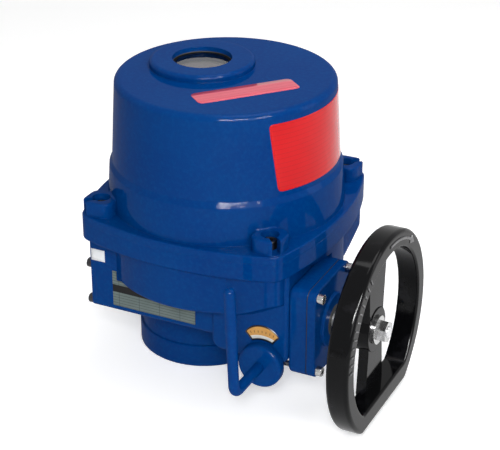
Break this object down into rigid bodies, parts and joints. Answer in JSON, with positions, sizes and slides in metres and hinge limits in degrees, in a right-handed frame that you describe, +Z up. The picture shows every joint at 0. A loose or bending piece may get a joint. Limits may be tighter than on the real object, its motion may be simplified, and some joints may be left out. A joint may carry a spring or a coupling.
{
  "type": "quarter-turn electric valve actuator",
  "caption": "Electric quarter-turn valve actuator with a domed cover, sight glass, D-shaped handwheel, clutch lever and a flanged foot with a keyed bore.",
  "frame": {"origin": "centre of the mounting foot's lower face, on the output axis", "axes": "+Z up along the output axis, +X towards the handwheel, -Y towards the lever and the nameplate"},
  "size_m": [0.3175, 0.2807, 0.3076],
  "materials": {
    "blue_paint": "gloss enamel over cast aluminium",
    "black_paint": "gloss black enamel over cast iron",
    "zinc_screw": "bright zinc plate",
    "black_screw": "black oxide",
    "steel": "ground steel",
    "bronze": "machined bronze",
    "cast_metal": "bare cast aluminium",
    "plate_metal": "thin printed aluminium, left bare",
    "glass": "clear glass",
    "rubber": "moulded rubber",
    "black_plastic": "moulded plastic",
    "pale_plastic": "moulded plastic",
    "dial_face": "printed dial, left plain"
  },
  "bodies": {
    "housing": {"lower_housing": "blue_paint", "top_cover": "blue_paint", "cover_seal": "rubber", "cover_bolts": "black_screw", "sight_glass": "glass", "glass_gasket": "rubber", "glass_retainer": "cast_metal", "retainer_screws": "steel", "nameplate": "plate_metal", "end_cover": "blue_paint", "end_cover_screws": "black_screw", "left_bearing": "steel", "mid_bearing": "steel", "hand_bearing": "steel", "lower_bush": "bronze", "upper_bush": "bronze", "output_seal": "rubber", "gear_lid": "cast_metal", "lid_screws": "steel", "idler_pin": "steel", "motor": "cast_metal", "motor_bracket": "steel", "lever_seal": "rubber", "hand_case": "blue_paint", "case_gasket": "rubber", "hand_cover": "blue_paint", "shaft_seal": "rubber", "hand_cover_screws": "zinc_screw", "control_plate": "cast_metal", "plate_pillars": "steel", "plate_screws": "steel", "switch_post": "steel", "limit_switches": "black_plastic", "terminal_block": "pale_plastic", "capacitor": "black_plastic", "heater": "cast_metal"},
    "output": {"drive_sleeve": "steel", "wheel_key": "steel", "worm_wheel": "bronze", "indicator_shaft": "steel", "limit_cams": "pale_plastic", "indicator_dial": "dial_face"},
    "worm": {"worm_shaft": "steel"},
    "collar": {"clutch_collar": "steel"},
    "hand_drive": {"handwheel": "black_paint", "handwheel_shaft": "steel", "wheel_washer": "zinc_screw", "wheel_nut": "zinc_screw"},
    "lever": {"lever_hub": "blue_paint", "lever_rod": "blue_paint", "lever_shaft": "steel", "shift_fork": "steel"},
    "clutch_gear": {"clutch_gear": "steel"},
    "idler": {"idler_gear": "steel"},
    "rotor": {"motor_pinion": "steel", "motor_shaft": "steel"}
  },
  "joints": [
    {"name": "output_turn", "type": "hinge", "parent": "housing", "child": "output", "pos_m": [0, 0, 0], "axis": [0, 0, 1], "range_deg": [0, 90]},
    {"name": "worm_turn", "type": "hinge", "parent": "housing", "child": "worm", "pos_m": [0, -0.062, 0.0915], "axis": [1, 0, 0], "range_deg": [0, 3600]},
    {"name": "handwheel_turn", "type": "hinge", "parent": "housing", "child": "hand_drive", "pos_m": [0.2, -0.062, 0.0915], "axis": [1, 0, 0], "range_deg": [0, 3600]},
    {"name": "lever_turn", "type": "hinge", "parent": "housing", "child": "lever", "pos_m": [0.1155, -0.1, 0.052], "axis": [0, 1, 0], "range_deg": [-32, 0]},
    {"name": "collar_slide", "type": "slide", "parent": "worm", "child": "collar", "axis": [1, 0, 0], "range_m": [-0.0122, 0]},
    {"name": "clutch_gear_turn", "type": "hinge", "parent": "housing", "child": "clutch_gear", "pos_m": [0.09, -0.062, 0.0915], "axis": [1, 0, 0], "range_deg": [0, 3600]},
    {"name": "idler_turn", "type": "hinge", "parent": "housing", "child": "idler", "pos_m": [0.09, -0.04507, 0.13801], "axis": [1, 0, 0], "range_deg": [-4320, 0]},
    {"name": "rotor_turn", "type": "hinge", "parent": "housing", "child": "rotor", "pos_m": [0.09, -0.04507, 0.16951], "axis": [1, 0, 0], "range_deg": [0, 10800]}
  ],
  "couplings": [
    {"joint": "worm_turn", "follows": "output_turn", "ratio": 40},
    {"joint": "handwheel_turn", "follows": "output_turn", "ratio": 40},
    {"joint": "collar_slide", "follows": "lever_turn", "m_per_rad": 0.021716},
    {"joint": "idler_turn", "follows": "clutch_gear_turn", "ratio": -1.2},
    {"joint": "rotor_turn", "follows": "clutch_gear_turn", "ratio": 3}
  ]
}
